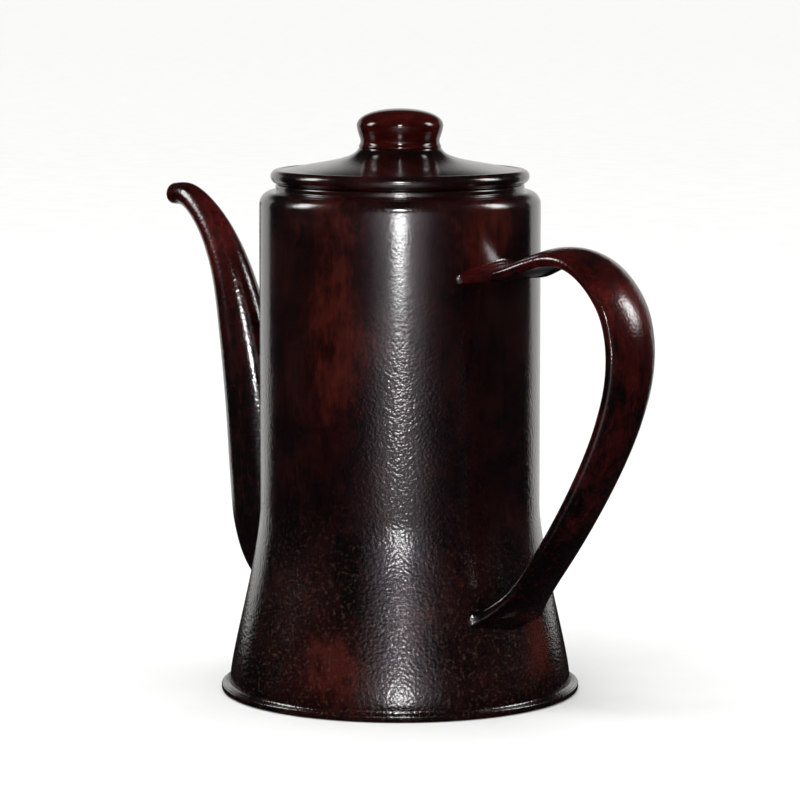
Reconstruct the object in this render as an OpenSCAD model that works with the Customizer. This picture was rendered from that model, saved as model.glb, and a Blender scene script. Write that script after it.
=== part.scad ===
// Enamelled coffee percolator for a camp fire: pot with spout and strap handle,
// lift-off lid, pump stem with a loose check valve, coffee basket and spreader.
// Origin: centre of the base in the resting plane. +Z up, handle towards +X, spout towards -X.

/* [Pot body] */
// Radius of the straight part of the wall
wall_radius = 45.9; // [40:0.1:60]
// Thickness of the enamelled sheet
sheet = 0.8; // [0.6:0.1:1.2]
// Radius of the flare just above the foot
flare_radius = 56.1; // [50:0.1:70]
// Height where the flare runs into the straight wall
flare_height = 62; // [40:1:90]
// Height of the shoulder's top face
shoulder_height = 164.4; // [120:0.5:220]
// Radius of the rounded shoulder
shoulder_round = 4.5; // [3:0.5:9]
// Radius of the round opening in the top of the wall
top_opening = 38.6; // [32:0.1:44]
// Radius of the flange turned out at the foot
flange_radius = 58; // [55:0.1:72]

/* [Base and mouth] */
// Radius of the curled edge of the base plate
base_radius = 58.9; // [56:0.1:73]
// Thickness of the base plate
base_sheet = 0.8; // [0.6:0.1:1.2]
// Inner radius of the mouth ring
mouth_radius = 37.7; // [31:0.1:43]
// Outer radius of the neck that carries the lid
neck_radius = 40.6; // [36:0.1:46]
// Height of the neck above the shoulder
neck_height = 2.2; // [1:0.1:4]
// Depth of the mouth ring's collar inside the pot
collar_depth = 5; // [3:0.5:10]

/* [Spout] */
// Outer radius of the spout's widest part
spout_root_radius = 13; // [10:0.1:18]
// Outer radius of the spout at its tip
spout_tip_radius = 3.6; // [3:0.1:8]
// Reach of the spout's tip from the pot's centre line
spout_reach = 110.5; // [95:0.5:140]
// Thickness of the spout's wall
spout_wall = 0.9; // [0.6:0.1:1.5]
// Radius of one strainer hole
strainer_hole = 1.5; // [1:0.1:2.5]
// Spacing of the strainer holes
strainer_pitch = 5; // [4:0.1:8]
// Height of the middle of the strainer holes
strainer_level = 36; // [30:1:45]

/* [Handle] */
// Width of the strap across its grip
strap_width = 21.5; // [16:0.5:30]
// Width of the strap where it narrows low down
strap_narrow = 18.5; // [14:0.5:28]
// Width of the flared feet of the strap
foot_width = 32; // [24:0.5:38]
// Height of the crown over the strap's edges
crown = 2.6; // [1:0.1:5]
// Depth of the strap's side walls
strap_side = 3; // [2.5:0.1:8]
// Extra depth of the side walls at the upper foot
upper_foot_extra = 1; // [0:0.5:8]
// Extra depth of the side walls at the lower foot
lower_foot_extra = 2; // [0:0.5:8]
// Thickness of the handle's sheet
strap_sheet = 0.9; // [0.6:0.1:1.5]
// Thickness of the saddle pads under the strap
pad_sheet = 1.4; // [0.8:0.1:2.5]

/* [Lid] */
// Radius of the lid's rim to the outside of its bead
lid_radius = 42.2; // [38:0.1:50]
// Radius of the rolled bead
bead_radius = 2.3; // [1.5:0.1:4]
// Height of the seat for the knob above the underside of the rim
lid_rise = 11.5; // [8:0.1:25]
// Outer radius of the skirt that centres the lid
skirt_radius = 37.5; // [30:0.1:43]
// Depth of the skirt below the neck
skirt_depth = 11; // [6:0.5:20]
// Thickness of the lid's and the skirt's sheet
lid_sheet = 0.8; // [0.6:0.1:1.2]

/* [Knob] */
// Largest radius of the knob
knob_radius = 14.1; // [11:0.1:20]
// Radius of the knob's waist
waist_radius = 12.7; // [8:0.1:18]
// Height of the knob
knob_height = 12.8; // [9:0.1:25]
// Outer radius of the threaded bush inside the knob
bush_radius = 3.6; // [3:0.1:6]
// Radius of the knob screw
screw_radius = 2; // [1.5:0.1:3]

/* [Pump] */
// Outer radius of the riser tube
tube_radius = 4; // [3:0.1:7]
// Inner radius of the riser tube
tube_bore = 3.3; // [2.5:0.1:6]
// Height of the riser tube's top end
tube_top = 160; // [120:1:210]
// Radius of the bell at its rim
bell_radius = 32; // [24:0.5:36]
// Inner radius of the bell's neck
bell_neck = 9.2; // [7:0.1:14]
// Height of the bell
bell_height = 21; // [14:0.5:35]
// Radius of the valve disc
valve_radius = 6.4; // [4:0.1:10]
// Lift of the valve disc before it meets the tube
valve_lift = 2.2; // [1:0.1:4]

/* [Basket] */
// Height of the basket's floor above the base
basket_level = 104; // [80:1:140]
// Outer radius of the basket's wall
basket_radius = 33; // [26:0.5:36]
// Height of the basket
basket_height = 46; // [30:1:60]
// Thickness of the basket's sheet
basket_sheet = 0.7; // [0.5:0.1:1.2]
// Radius of one hole in the basket and in its cover
basket_hole = 1.2; // [0.8:0.1:2]
// Depth of the cover's dish below the basket's edge
cover_depth = 3.6; // [2:0.1:8]

/* [Hidden] */
$fn = 96;
// clearance left between neighbouring sheets
gap = 0.05;
// running clearance of a sleeve over the tube
slip = 0.6;
// overlap that keeps cuts clean
over = 1;
// tight fit of a part pressed on or into another
press = 0.02;

// steps along a curved outline
curve_steps = 14;
arc_steps = 6;
crown_steps = 5;
fold_steps = 3;

// heights from the base upwards
flange_top = base_sheet + gap + sheet;
foot_fillet = 1.5;
curl_round = 0.6;
flare_start = flange_top + foot_fillet;
neck_top = shoulder_height + neck_height;
lid_base = neck_top + gap;
knob_base = lid_base + lid_rise;

// riser tube and valve
seat_level = 10.5;
seat_sheet = 1;
valve_sheet = 0.8;
valve_rest = seat_level + seat_sheet + gap;
tube_bottom = valve_rest + valve_sheet + valve_lift + gap;
bell_sheet = 0.8;
bell_rest = base_sheet + gap;

// how far the skirt reaches up inside the lid
skirt_rise = 3.3;
// hole in the lid for the knob screw
lid_hole = screw_radius + 0.3;
// hole in the basket and its cover round the tube
tube_hole = tube_radius + slip;

// handle: radius of the folded edges and places where its feet flare, as shares of its length
fold_radius = 1.3;
upper_flare_start = 0.13;
upper_flare_end = 0.02;
lower_flare_start = 0.85;
lower_flare_end = 0.95;
taper_start = 0.35;
taper_end = 0.85;
// saddle pads: how much wider than the foot, middle heights and heights
pad_margin = 2;
upper_pad_level = 137;
upper_pad_height = 15;
lower_pad_level = 32.5;
lower_pad_height = 17;

function lerp(a, b, t) = a + (b - a) * t;
function smooth(t) = t * t * (3 - 2 * t);

// point on a cubic Bezier curve
function bezier(p, t) =
    p[0] * pow(1 - t, 3) + p[1] * 3 * t * pow(1 - t, 2)
    + p[2] * 3 * t * t * (1 - t) + p[3] * pow(t, 3);

function bezier_line(p, steps) = [for (i = [0:steps]) bezier(p, i / steps)];

// arc from angle a to angle b round a centre
function arc(centre, radius, a, b, steps) =
    [for (i = [0:steps]) centre + radius * [cos(lerp(a, b, i / steps)), sin(lerp(a, b, i / steps))]];

// point on a smooth curve through the given points, u counted in points
function through(p, u) =
    let (
        last = len(p) - 1,
        i = min(floor(u), last - 1),
        t = u - i,
        a = p[max(i - 1, 0)],
        b = p[i],
        c = p[i + 1],
        d = p[min(i + 2, last)]
    )
    0.5 * (2 * b + (c - a) * t + (2 * a - 5 * b + 4 * c - d) * t * t
    + (3 * b - a - 3 * c + d) * t * t * t);

// unit direction of that curve
function heading(p, u) =
    let (
        last = len(p) - 1,
        step = 0.02,
        v = through(p, min(u + step, last)) - through(p, max(u - step, 0))
    )
    v / norm([v[0], v[1]]);

// outline of the pot's wall, radius and height, moved inward by inset
function wall_line(inset) = concat(
    arc([flare_radius + foot_fillet, flare_start], foot_fillet + inset, 270, 180, arc_steps),
    bezier_line([
        [flare_radius - inset, flare_start],
        [flare_radius - inset, 12],
        [wall_radius - inset, 46],
        [wall_radius - inset, flare_height]
    ], curve_steps),
    arc([wall_radius - shoulder_round, shoulder_height - shoulder_round],
        shoulder_round - inset, 0, 90, arc_steps)
);

function reversed(p) = [for (i = [len(p) - 1:-1:0]) p[i]];

// solid body of closed rings of equal point count, capped at both ends
module swept(rings) {
    n = len(rings[0]);
    m = len(rings);
    points = concat([for (ring = rings) for (p = ring) p], [middle(rings[0]), middle(rings[m - 1])]);
    sides = [for (i = [0:m - 2]) for (j = [0:n - 1]) for (half = [0, 1])
        let (k = (j + 1) % n, a = i * n + j, b = i * n + k)
        half == 0 ? [a, b, b + n] : [a, b + n, a + n]];
    first_cap = [for (j = [0:n - 1]) [m * n, (j + 1) % n, j]];
    last_cap = [for (j = [0:n - 1]) [m * n + 1, (m - 1) * n + j, (m - 1) * n + (j + 1) % n]];
    polyhedron(points, concat(sides, first_cap, last_cap), convexity = 6);
}

function total(p, i = 0) = i == len(p) - 1 ? p[i] : p[i] + total(p, i + 1);
function middle(p) = total(p) / len(p);

// everything inside the pot's outer surface grown by extra
module pot_envelope(extra) {
    line = wall_line(-extra);
    rotate_extrude($fn = 180)
        polygon(concat([[0, base_sheet]], line, [[0, shoulder_height + extra]]));
}

// ---- pot ----

module strainer_pattern() {
    rows = 5;
    pattern_radius = strainer_pitch * 1.8;
    row_pitch = strainer_pitch * sin(60);
    for (row = [-rows:rows])
        for (col = [-rows:rows]) {
            y = (col + (row % 2 == 0 ? 0 : 0.5)) * strainer_pitch;
            z = row * row_pitch;
            if (norm([y, z]) < pattern_radius)
                translate([y, z])
                    circle(r = strainer_hole, $fn = 24);
        }
}

module pot_body() {
    color("#4a120c")
        difference() {
            rotate_extrude()
                polygon(concat(
                    [[flange_radius, flange_top]],
                    wall_line(0),
                    [[top_opening, shoulder_height], [top_opening, shoulder_height - sheet]],
                    reversed(wall_line(sheet)),
                    [[flange_radius, flange_top - sheet]]
                ));
            translate([-wall_radius + 2 * over, 0, strainer_level])
                rotate([90, 0, -90])
                    linear_extrude(height = wall_radius / 3)
                        strainer_pattern();
        }
}

module base_plate() {
    curl_inner = flare_radius + foot_fillet;
    curl_top = flange_top + gap + curl_round;
    color("#3a0f0b")
        rotate_extrude()
            polygon(concat(
                [[0, 0]],
                arc([base_radius - curl_round, curl_round], curl_round, -90, 0, arc_steps),
                arc([base_radius - curl_round, curl_top - curl_round], curl_round, 0, 90, arc_steps),
                [
                    [curl_inner, curl_top],
                    [curl_inner, flange_top + gap],
                    [flange_radius + gap, flange_top + gap],
                    [flange_radius + gap, base_sheet],
                    [0, base_sheet]
                ]
            ));
}

module mouth_ring() {
    edge = 0.7;
    foot = shoulder_height + gap;
    color("#3f110c")
        rotate_extrude()
            polygon(concat(
                [
                    [mouth_radius, shoulder_height - collar_depth],
                    [top_opening - gap, shoulder_height - collar_depth],
                    [top_opening - gap, foot]
                ],
                arc([neck_radius - edge, foot + edge], edge, -90, 0, arc_steps),
                arc([neck_radius - edge, neck_top - edge], edge, 0, 90, arc_steps),
                [[mouth_radius, neck_top]]
            ));
}

// ---- spout ----

// centre line of the spout: reach, height and outer radius
spout_path = [
    [38, 31.5, spout_root_radius],
    [48, 34.5, spout_root_radius],
    [57, 40.5, spout_root_radius],
    [61.8, 51, spout_root_radius],
    [64.6, 66, 12.4],
    [68.6, 88, 11],
    [74, 110, 9.2],
    [80.4, 130.5, 7.2],
    [87.2, 143.6, 5.9],
    [95, 152.6, 4.9],
    [103, 157.8, 4.2],
    [spout_reach, 158.2, spout_tip_radius]
];
spout_sides = 28;
spout_stations = 40;
// share of the spout that is searched for the wall, and how often it is halved
wall_share = 0.35;
halvings = 24;

// point on the spout's surface, t from 0 inside the wall to 1 at the tip
function spout_point(t, angle, inset) =
    let (
        u = t * (len(spout_path) - 1),
        p = through(spout_path, u),
        d = heading(spout_path, u),
        r = p[2] - inset
    )
    [-p[0] + d[1] * r * cos(angle), r * sin(angle), p[1] + d[0] * r * cos(angle)];

// outer radius of the wall at a height, grown by extra
function wall_at(z, extra) = lookup(z, [for (p = wall_line(-extra)) [p[1], p[0]]]);

// place along the spout where one of its lines leaves the wall
function leaves_wall(angle, inset, low, high, tries) =
    let (
        t = (low + high) / 2,
        p = spout_point(t, angle, inset)
    )
    tries == 0 ? t
    : norm([p[0], p[1]]) > wall_at(p[2], 2 * gap) ? leaves_wall(angle, inset, low, t, tries - 1)
    : leaves_wall(angle, inset, t, high, tries - 1);

function spout_line(angle, inset) =
    let (start = leaves_wall(angle, inset, 0, wall_share, halvings))
    [for (i = [0:spout_stations]) spout_point(lerp(start, 1, i / spout_stations), angle, inset)];

module spout() {
    n = spout_sides;
    rows = spout_stations + 1;
    outer = [for (j = [0:n - 1]) spout_line(360 * j / n, 0)];
    inner = [for (j = [0:n - 1]) spout_line(360 * j / n, spout_wall)];
    points = concat([for (line = outer) each line], [for (line = inner) each line]);
    half = n * rows;
    faces = [for (j = [0:n - 1])
        let (a = j * rows, b = (j + 1) % n * rows)
        each concat(
            [for (i = [0:rows - 2]) each [
                [a + i, b + i + 1, b + i],
                [a + i, a + i + 1, b + i + 1],
                [half + a + i, half + b + i, half + b + i + 1],
                [half + a + i, half + b + i + 1, half + a + i + 1]
            ]],
            [
                [a, b, half + b],
                [a, half + b, half + a],
                [a + rows - 1, half + b + rows - 1, b + rows - 1],
                [a + rows - 1, half + a + rows - 1, half + b + rows - 1]
            ]
        )];
    color("#571610")
        polyhedron(points, faces, convexity = 6);
}

// ---- handle ----

// crown line of the handle, reach and height, from the upper foot to the lower foot
handle_path = [
    [43, 142.6],
    [53, 144],
    [63, 147.6],
    [72, 149.9],
    [80.5, 149.6],
    [88.5, 146.3],
    [96, 140],
    [101.6, 131.6],
    [104.2, 120.5],
    [103.4, 108],
    [99.4, 95],
    [93.6, 82.6],
    [86.3, 70],
    [78.4, 58],
    [70.4, 47],
    [62.2, 37],
    [53, 28.4],
    [44, 22.6]
];
handle_stations = 56;

// 0 up to a, rising to 1 at b
function ramp(x, a, b) = min(max((x - a) / (b - a), 0), 1);

// flare of the strap towards its upper and lower foot
function upper_flare(t) = pow(ramp(t, upper_flare_start, upper_flare_end), 2);
function lower_flare(t) = pow(ramp(t, lower_flare_start, lower_flare_end), 2);

function strap_half(t) =
    lerp(lerp(strap_width, strap_narrow, smooth(ramp(t, taper_start, taper_end))),
        foot_width, upper_flare(t) + lower_flare(t)) / 2;

function strap_depth(t) =
    strap_side + upper_foot_extra * upper_flare(t) + lower_foot_extra * lower_flare(t);

// half outline of the strap's section, width and height above the crown line
function strap_section(half, crown_depth, side_depth, edge) = concat(
    [for (i = [0:crown_steps])
        let (y = i / crown_steps * (half - edge))
        [y, -crown_depth * pow(y / half, 2)]],
    arc([half - edge, -crown_depth - edge * 0.6], edge, 50, 0, fold_steps),
    arc([half - edge, -crown_depth - side_depth + edge], edge, 0, -90, fold_steps)
);

function mirrored(p) = concat(p, [for (i = [len(p) - 1:-1:1]) [-p[i][0], p[i][1]]]);

// strap body with its section reduced by inset and its back moved by back_shift
module strap_bar(inset, back_shift) {
    last = len(handle_path) - 1;
    swept([for (i = [0:handle_stations])
        let (
            t = i / handle_stations,
            p = through(handle_path, t * last),
            d = heading(handle_path, t * last),
            half = strap_half(t) - inset,
            edge = fold_radius - inset / 2,
            section = strap_section(half, crown, strap_depth(t) - inset + back_shift, edge)
        )
        [for (q = mirrored(section))
            [
                p[0] - d[1] * (q[1] - inset),
                q[0],
                p[1] + d[0] * (q[1] - inset)
            ]]]);
}

module handle_shell() {
    color("#5e1812")
        resize([0, 0, 0])
            difference() {
                strap_bar(0, 0);
                strap_bar(strap_sheet, strap_sheet + over);
                pot_envelope(pad_sheet + 2 * gap);
            }
}

// closing strip, held just inside the side walls of the strap
module handle_back() {
    last = len(handle_path) - 1;
    fit = strap_sheet + 2 * gap + 0.4;
    recess = 0.5;
    color("#541510")
        resize([0, 0, 0])
            difference() {
                swept([for (i = [0:handle_stations])
                    let (
                        t = i / handle_stations,
                        p = through(handle_path, t * last),
                        d = heading(handle_path, t * last),
                        half = strap_half(t) - fit,
                        low = -crown - strap_depth(t) + recess,
                        high = low + strap_sheet
                    )
                    [for (q = [[-half, low], [-half, high], [half, high], [half, low]])
                        [p[0] - d[1] * q[1], q[0], p[1] + d[0] * q[1]]]]);
                pot_envelope(pad_sheet + 2 * gap);
            }
}

// saddle pad shaped to the wall, middle height and size given
module saddle_pad(level, width, height) {
    round_corner = 6.5;
    intersection() {
        translate([wall_radius / 2, 0, level])
            rotate([90, 0, 90])
                linear_extrude(height = wall_radius)
                    offset(r = round_corner)
                        square([width - 2 * round_corner, height - 2 * round_corner], center = true);
        difference() {
            pot_envelope(pad_sheet);
            pot_envelope(gap);
        }
    }
}

module handle_foot_upper() {
    color("#501510")
        saddle_pad(upper_pad_level, foot_width + pad_margin, upper_pad_height);
}

module handle_foot_lower() {
    color("#501510")
        saddle_pad(lower_pad_level, foot_width + pad_margin, lower_pad_height);
}

// ---- lid ----

module lid_shell() {
    bead_centre = [lid_radius - bead_radius, lid_base + bead_radius];
    rise = knob_base - lid_base;
    top_line = bezier_line([
        [bead_centre[0] - 0.6, lid_base + 2 * bead_radius - 0.4],
        [25, lid_base + rise * 0.62],
        [waist_radius + 2.4, lid_base + rise * 0.66],
        [waist_radius + 0.8, knob_base]
    ], curve_steps);
    color("#4a120c")
        rotate_extrude()
            difference() {
                union() {
                    translate(bead_centre)
                        circle(r = bead_radius);
                    polygon(concat(
                        top_line,
                        [[lid_hole, knob_base], [lid_hole, knob_base - lid_sheet]],
                        reversed([for (p = top_line) p - [0.5, lid_sheet]])
                    ));
                }
                translate(bead_centre)
                    circle(r = bead_radius - lid_sheet);
            }
}

module lid_skirt() {
    height = skirt_depth + skirt_rise;
    color("#40110c")
        translate([0, 0, neck_top - skirt_depth])
            difference() {
                cylinder(r = skirt_radius, h = height);
                translate([0, 0, -over])
                    cylinder(r = skirt_radius - lid_sheet, h = height + 2 * over);
            }
}

module knob() {
    top = knob_base + knob_height;
    widest = knob_base + knob_height * 0.56;
    color("#4b1b12")
        difference() {
            rotate_extrude()
                polygon(concat(
                    [[0, knob_base + gap], [waist_radius + 0.7, knob_base + gap]],
                    bezier_line([
                        [waist_radius + 0.7, knob_base + 0.8],
                        [waist_radius - 0.6, knob_base + 2.6],
                        [knob_radius - 0.5, knob_base + 3.4],
                        [knob_radius, widest]
                    ], curve_steps),
                    bezier_line([
                        [knob_radius, widest],
                        [knob_radius + 0.1, widest + 3.6],
                        [knob_radius * 0.55, top],
                        [0, top]
                    ], curve_steps)
                ));
            translate([0, 0, knob_base - over])
                cylinder(r = bush_radius + press, h = knob_height * 0.62 + over);
        }
}

module knob_insert() {
    color("#b08d4a")
        difference() {
            translate([0, 0, knob_base + gap])
                cylinder(r = bush_radius, h = knob_height * 0.6);
            translate([0, 0, knob_base - over])
                cylinder(r = screw_radius + 0.05, h = knob_height + over);
        }
}

// bottom face of the washer under the lid
washer_radius = 6;
washer_sheet = 1;
washer_level = knob_base - lid_sheet - 2 * gap - washer_sheet;

module knob_washer() {
    color("#a5a7aa")
        translate([0, 0, washer_level])
            difference() {
                cylinder(r = washer_radius, h = washer_sheet);
                translate([0, 0, -over])
                    cylinder(r = lid_hole, h = washer_sheet + 2 * over);
            }
}

module knob_screw() {
    head_radius = 4;
    head_height = 2.2;
    slot_width = 1;
    slot_depth = 1.1;
    shank = 8.6;
    head_top = washer_level - gap;
    color("#a5a7aa")
        difference() {
            union() {
                translate([0, 0, head_top - head_height])
                    cylinder(r1 = head_radius - 0.8, r2 = head_radius, h = head_height);
                translate([0, 0, head_top - over])
                    cylinder(r = screw_radius, h = over + shank);
            }
            translate([-head_radius - over, -slot_width / 2, head_top - head_height - over])
                cube([2 * (head_radius + over), slot_width, over + slot_depth]);
        }
}

// ---- pump ----

module pump_tube() {
    notch_height = 3;
    notch_width = 3.4;
    color("#b7b9bb")
        difference() {
            translate([0, 0, tube_bottom])
                cylinder(r = tube_radius, h = tube_top - tube_bottom);
            translate([0, 0, tube_bottom - over])
                cylinder(r = tube_bore, h = tube_top - tube_bottom + 2 * over);
            translate([-tube_radius - over, -notch_width / 2, tube_bottom - over])
                cube([2 * (tube_radius + over), notch_width, notch_height + over]);
        }
}

module pump_base() {
    neck_outer = bell_neck + bell_sheet;
    dome_level = bell_height - 5;
    slope_level = 9;
    notches = 6;
    notch_radius = 2.4;
    socket = tube_radius + press;
    socket_depth = 3.4;
    color("#b2b4b6")
        difference() {
            rotate_extrude()
                polygon(concat(
                    [
                        [bell_radius, bell_rest],
                        [bell_radius, bell_rest + 2.4]
                    ],
                    arc([neck_outer + 3, slope_level + 3], 3, 262, 180, arc_steps),
                    arc([neck_outer - 4, dome_level - 0.6], 4, 0, 60, arc_steps),
                    [
                        [tube_radius + 1.2, bell_height],
                        [socket, bell_height],
                        [socket, bell_height - socket_depth],
                        [bell_neck - 2.6, dome_level],
                        [bell_neck, dome_level - 2.2],
                        [bell_neck, slope_level - bell_sheet],
                        [bell_radius - bell_sheet, bell_rest + 1.6],
                        [bell_radius - bell_sheet, bell_rest]
                    ]
                ));
            for (i = [0:notches - 1])
                rotate([0, 0, 360 * i / notches])
                    translate([bell_radius - 2 * bell_sheet - over, 0, bell_rest - bell_sheet])
                        rotate([0, 90, 0])
                            cylinder(r = notch_radius, h = 2 * bell_sheet + 2 * over, $fn = 24);
        }
}

module valve_seat() {
    color("#9fa1a4")
        translate([0, 0, seat_level])
            difference() {
                cylinder(r = bell_neck - press, h = seat_sheet);
                translate([0, 0, -over])
                    cylinder(r = valve_radius - 2.6, h = seat_sheet + 2 * over);
            }
}

module valve_disc() {
    color("#c2c4c6")
        translate([0, 0, valve_rest])
            cylinder(r = valve_radius, h = valve_sheet);
}

module stem_collar() {
    collar_height = 4;
    color("#a8aaad")
        translate([0, 0, basket_level - gap - collar_height])
            difference() {
                cylinder(r1 = tube_radius + 1.4, r2 = tube_radius + 2.6, h = collar_height);
                translate([0, 0, -over])
                    cylinder(r = tube_radius + press, h = collar_height + 2 * over);
            }
}

// ---- basket ----

// rings of holes between two radii, an even spacing on every ring
module hole_rings(inner, outer, rings) {
    for (k = [0:rings - 1]) {
        r = lerp(inner, outer, k / (rings - 1));
        count = floor(2 * PI * r / (basket_hole * 4.2));
        for (i = [0:count - 1])
            rotate([0, 0, 360 * i / count])
                translate([r, 0])
                    circle(r = basket_hole, $fn = 16);
    }
}

module basket_cup() {
    inner = basket_radius - basket_sheet;
    top = basket_level + basket_height;
    bead = 0.9;
    side_holes = 24;
    side_rows = 3;
    row_pitch = 5;
    color("#b9bbbd") {
        translate([0, 0, basket_level])
            linear_extrude(height = basket_sheet)
                difference() {
                    circle(r = inner);
                    circle(r = tube_hole + basket_sheet + gap);
                    hole_rings(9, inner - 4, 6);
                }
        difference() {
            rotate_extrude()
                polygon(concat(
                    [
                        [inner - gap, basket_level],
                        [basket_radius, basket_level],
                        [basket_radius, top - 2 * bead]
                    ],
                    arc([basket_radius, top - bead], bead, -90, 90, arc_steps),
                    [
                        [inner, top],
                        [inner, basket_level + basket_sheet],
                        [inner - gap, basket_level + basket_sheet]
                    ]
                ));
            for (row = [0:side_rows - 1])
                for (i = [0:side_holes - 1])
                    rotate([0, 0, 360 * (i + row / 2) / side_holes])
                        translate([inner - over, 0, basket_level + (row + 1) * row_pitch])
                            rotate([0, 90, 0])
                                cylinder(r = basket_hole, h = basket_sheet + 2 * over, $fn = 16);
        }
    }
}

module basket_sleeve() {
    flange = 2;
    play = 2;
    color("#aeb0b2")
        translate([0, 0, basket_level])
            difference() {
                union() {
                    cylinder(r = tube_hole + basket_sheet, h = basket_height - cover_depth - play);
                    translate([0, 0, basket_sheet + gap])
                        cylinder(r = tube_hole + basket_sheet + flange, h = basket_sheet);
                }
                translate([0, 0, -over])
                    cylinder(r = tube_hole, h = basket_height + 2 * over);
            }
}

module basket_cover() {
    rest = basket_level + basket_height + gap;
    dish = rest - cover_depth;
    inner = basket_radius - basket_sheet - slip + 2 * gap;
    brim = basket_radius + 0.9;
    color("#bcbec0") {
        translate([0, 0, dish])
            linear_extrude(height = basket_sheet)
                difference() {
                    circle(r = inner - basket_sheet);
                    circle(r = tube_hole + slip);
                    hole_rings(9.5, inner - 4.5, 5);
                }
        rotate_extrude()
            polygon([
                [inner - basket_sheet - gap, dish],
                [inner, dish],
                [inner, rest],
                [brim, rest],
                [brim, rest + basket_sheet],
                [inner - basket_sheet, rest + basket_sheet],
                [inner - basket_sheet, dish + basket_sheet],
                [inner - basket_sheet - gap, dish + basket_sheet]
            ]);
    }
}

pot_body();
base_plate();
mouth_ring();
spout();
handle_shell();
handle_back();
handle_foot_upper();
handle_foot_lower();
lid_shell();
lid_skirt();
knob();
knob_insert();
knob_washer();
knob_screw();
pump_tube();
pump_base();
valve_seat();
valve_disc();
stem_collar();
basket_cup();
basket_sleeve();
basket_cover();
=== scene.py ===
"""Looks for the enamelled coffee percolator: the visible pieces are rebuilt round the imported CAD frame."""
import math

import bmesh
import bpy
import numpy as np
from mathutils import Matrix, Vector


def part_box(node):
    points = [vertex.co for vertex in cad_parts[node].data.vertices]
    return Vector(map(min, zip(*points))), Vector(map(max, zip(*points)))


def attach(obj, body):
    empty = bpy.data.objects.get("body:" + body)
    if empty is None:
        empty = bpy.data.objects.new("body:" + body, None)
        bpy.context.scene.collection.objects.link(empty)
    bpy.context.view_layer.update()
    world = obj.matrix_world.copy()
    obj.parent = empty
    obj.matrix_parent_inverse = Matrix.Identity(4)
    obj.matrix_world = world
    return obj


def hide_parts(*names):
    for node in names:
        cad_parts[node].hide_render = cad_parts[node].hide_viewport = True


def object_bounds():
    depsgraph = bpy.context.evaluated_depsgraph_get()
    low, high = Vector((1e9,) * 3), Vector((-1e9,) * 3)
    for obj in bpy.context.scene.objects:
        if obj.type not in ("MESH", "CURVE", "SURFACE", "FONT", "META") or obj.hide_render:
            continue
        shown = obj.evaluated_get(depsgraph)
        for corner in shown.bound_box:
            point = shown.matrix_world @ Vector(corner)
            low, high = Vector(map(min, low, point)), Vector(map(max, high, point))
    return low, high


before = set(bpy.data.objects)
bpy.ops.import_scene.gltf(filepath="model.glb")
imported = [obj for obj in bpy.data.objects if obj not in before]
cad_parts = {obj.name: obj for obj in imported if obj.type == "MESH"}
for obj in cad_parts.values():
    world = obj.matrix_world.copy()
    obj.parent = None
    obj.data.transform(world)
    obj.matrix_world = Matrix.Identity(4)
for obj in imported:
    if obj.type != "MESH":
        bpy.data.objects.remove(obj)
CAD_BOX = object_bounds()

MM = 0.001
TURN = 2 * math.pi


# ---------------------------------------------------------------- curves and meshes (millimetres)

def arc(centre, radius, start, end, steps):
    """Points on an arc, angles in degrees."""
    angles = np.radians(np.linspace(start, end, steps + 1))
    return [(centre[0] + radius * math.cos(a), centre[1] + radius * math.sin(a)) for a in angles]


def bezier(points, steps):
    """Points on a cubic Bezier curve."""
    p = np.array(points, float)
    t = np.linspace(0, 1, steps + 1)[:, None]
    line = (p[0] * (1 - t) ** 3 + p[1] * 3 * t * (1 - t) ** 2
            + p[2] * 3 * t ** 2 * (1 - t) + p[3] * t ** 3)
    return [tuple(q) for q in line]


def through(points, u):
    """Catmull-Rom curve through points; u is an array counted in points."""
    p = np.array(points, float)
    u = np.atleast_1d(u)
    last = len(p) - 1
    i = np.clip(np.floor(u).astype(int), 0, last - 1)
    t = (u - i)[:, None]
    a, b = p[np.maximum(i - 1, 0)], p[i]
    c, d = p[i + 1], p[np.minimum(i + 2, last)]
    return 0.5 * (2 * b + (c - a) * t + (2 * a - 5 * b + 4 * c - d) * t ** 2
                  + (3 * b - a - 3 * c + d) * t ** 3)


def smooth(t):
    t = np.clip(t, 0, 1)
    return t * t * (3 - 2 * t)


def ramp(x, a, b):
    return np.clip((x - a) / (b - a), 0, 1)


def new_object(name, verts, faces, body, material, sharp=40, stands_for=()):
    """Mesh object from millimetre points, riding on a body, smooth but for sharp edges."""
    mesh = bpy.data.meshes.new(name)
    mesh.from_pydata([tuple(v) for v in np.array(verts, float) * MM], [], [tuple(f) for f in faces])
    bm = bmesh.new()
    bm.from_mesh(mesh)
    bmesh.ops.remove_doubles(bm, verts=bm.verts, dist=1e-7)
    bmesh.ops.recalc_face_normals(bm, faces=bm.faces)
    bm.to_mesh(mesh)
    bm.free()
    mesh.shade_smooth()
    mesh.set_sharp_from_angle(angle=math.radians(sharp))
    obj = bpy.data.objects.new(name, mesh)
    bpy.context.scene.collection.objects.link(obj)
    mesh.materials.append(material)
    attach(obj, body)
    if stands_for:
        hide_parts(*stands_for)
    return obj


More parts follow.
